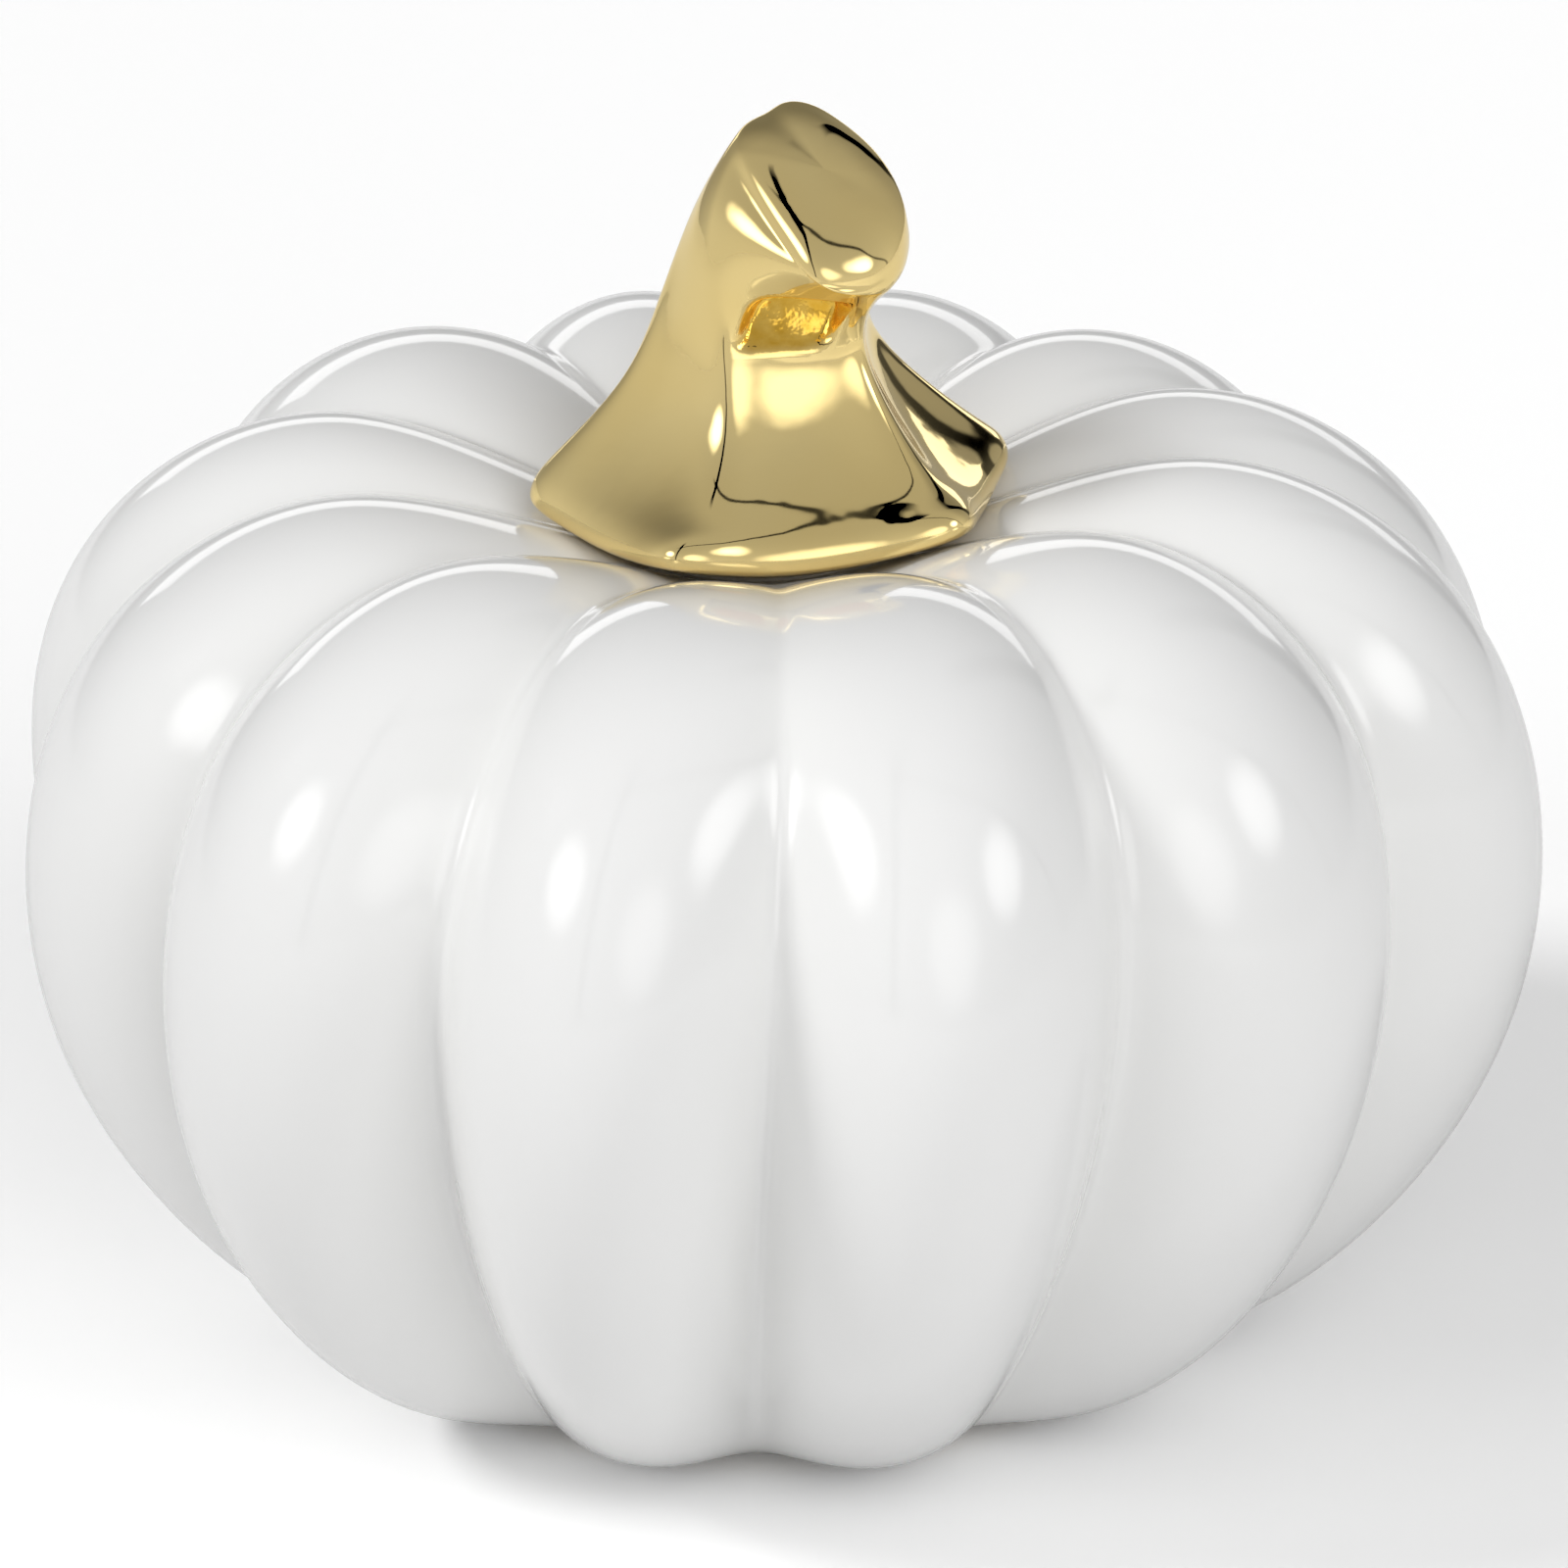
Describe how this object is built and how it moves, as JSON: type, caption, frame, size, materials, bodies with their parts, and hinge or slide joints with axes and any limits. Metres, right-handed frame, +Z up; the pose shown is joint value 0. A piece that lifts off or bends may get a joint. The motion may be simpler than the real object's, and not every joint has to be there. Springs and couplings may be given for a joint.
{
  "type": "ceramic pumpkin figure",
  "caption": "Squat lobed pumpkin ornament in glossy white glaze, with a ridged, leaning gold stalk set in the dip of its crown; stands on a flat foot.",
  "frame": {"origin": "on the surface that the figure stands on, under the middle of the foot ring", "axes": "+Z up; -Y is the front, the side that the stalk's cut end leans towards; +X is the figure's right as seen from the front"},
  "size_m": [0.1477, 0.1468, 0.1236],
  "materials": {
    "white_glaze": "gloss",
    "gold_lustre": "polished",
    "epoxy": "satin",
    "felt": "matte"
  },
  "bodies": {
    "root": {"body_shell": "white_glaze", "stem": "gold_lustre", "stem_cement": "epoxy", "foot_pad_1": "felt", "foot_pad_2": "felt", "foot_pad_3": "felt", "foot_pad_4": "felt"}
  },
  "joints": []
}
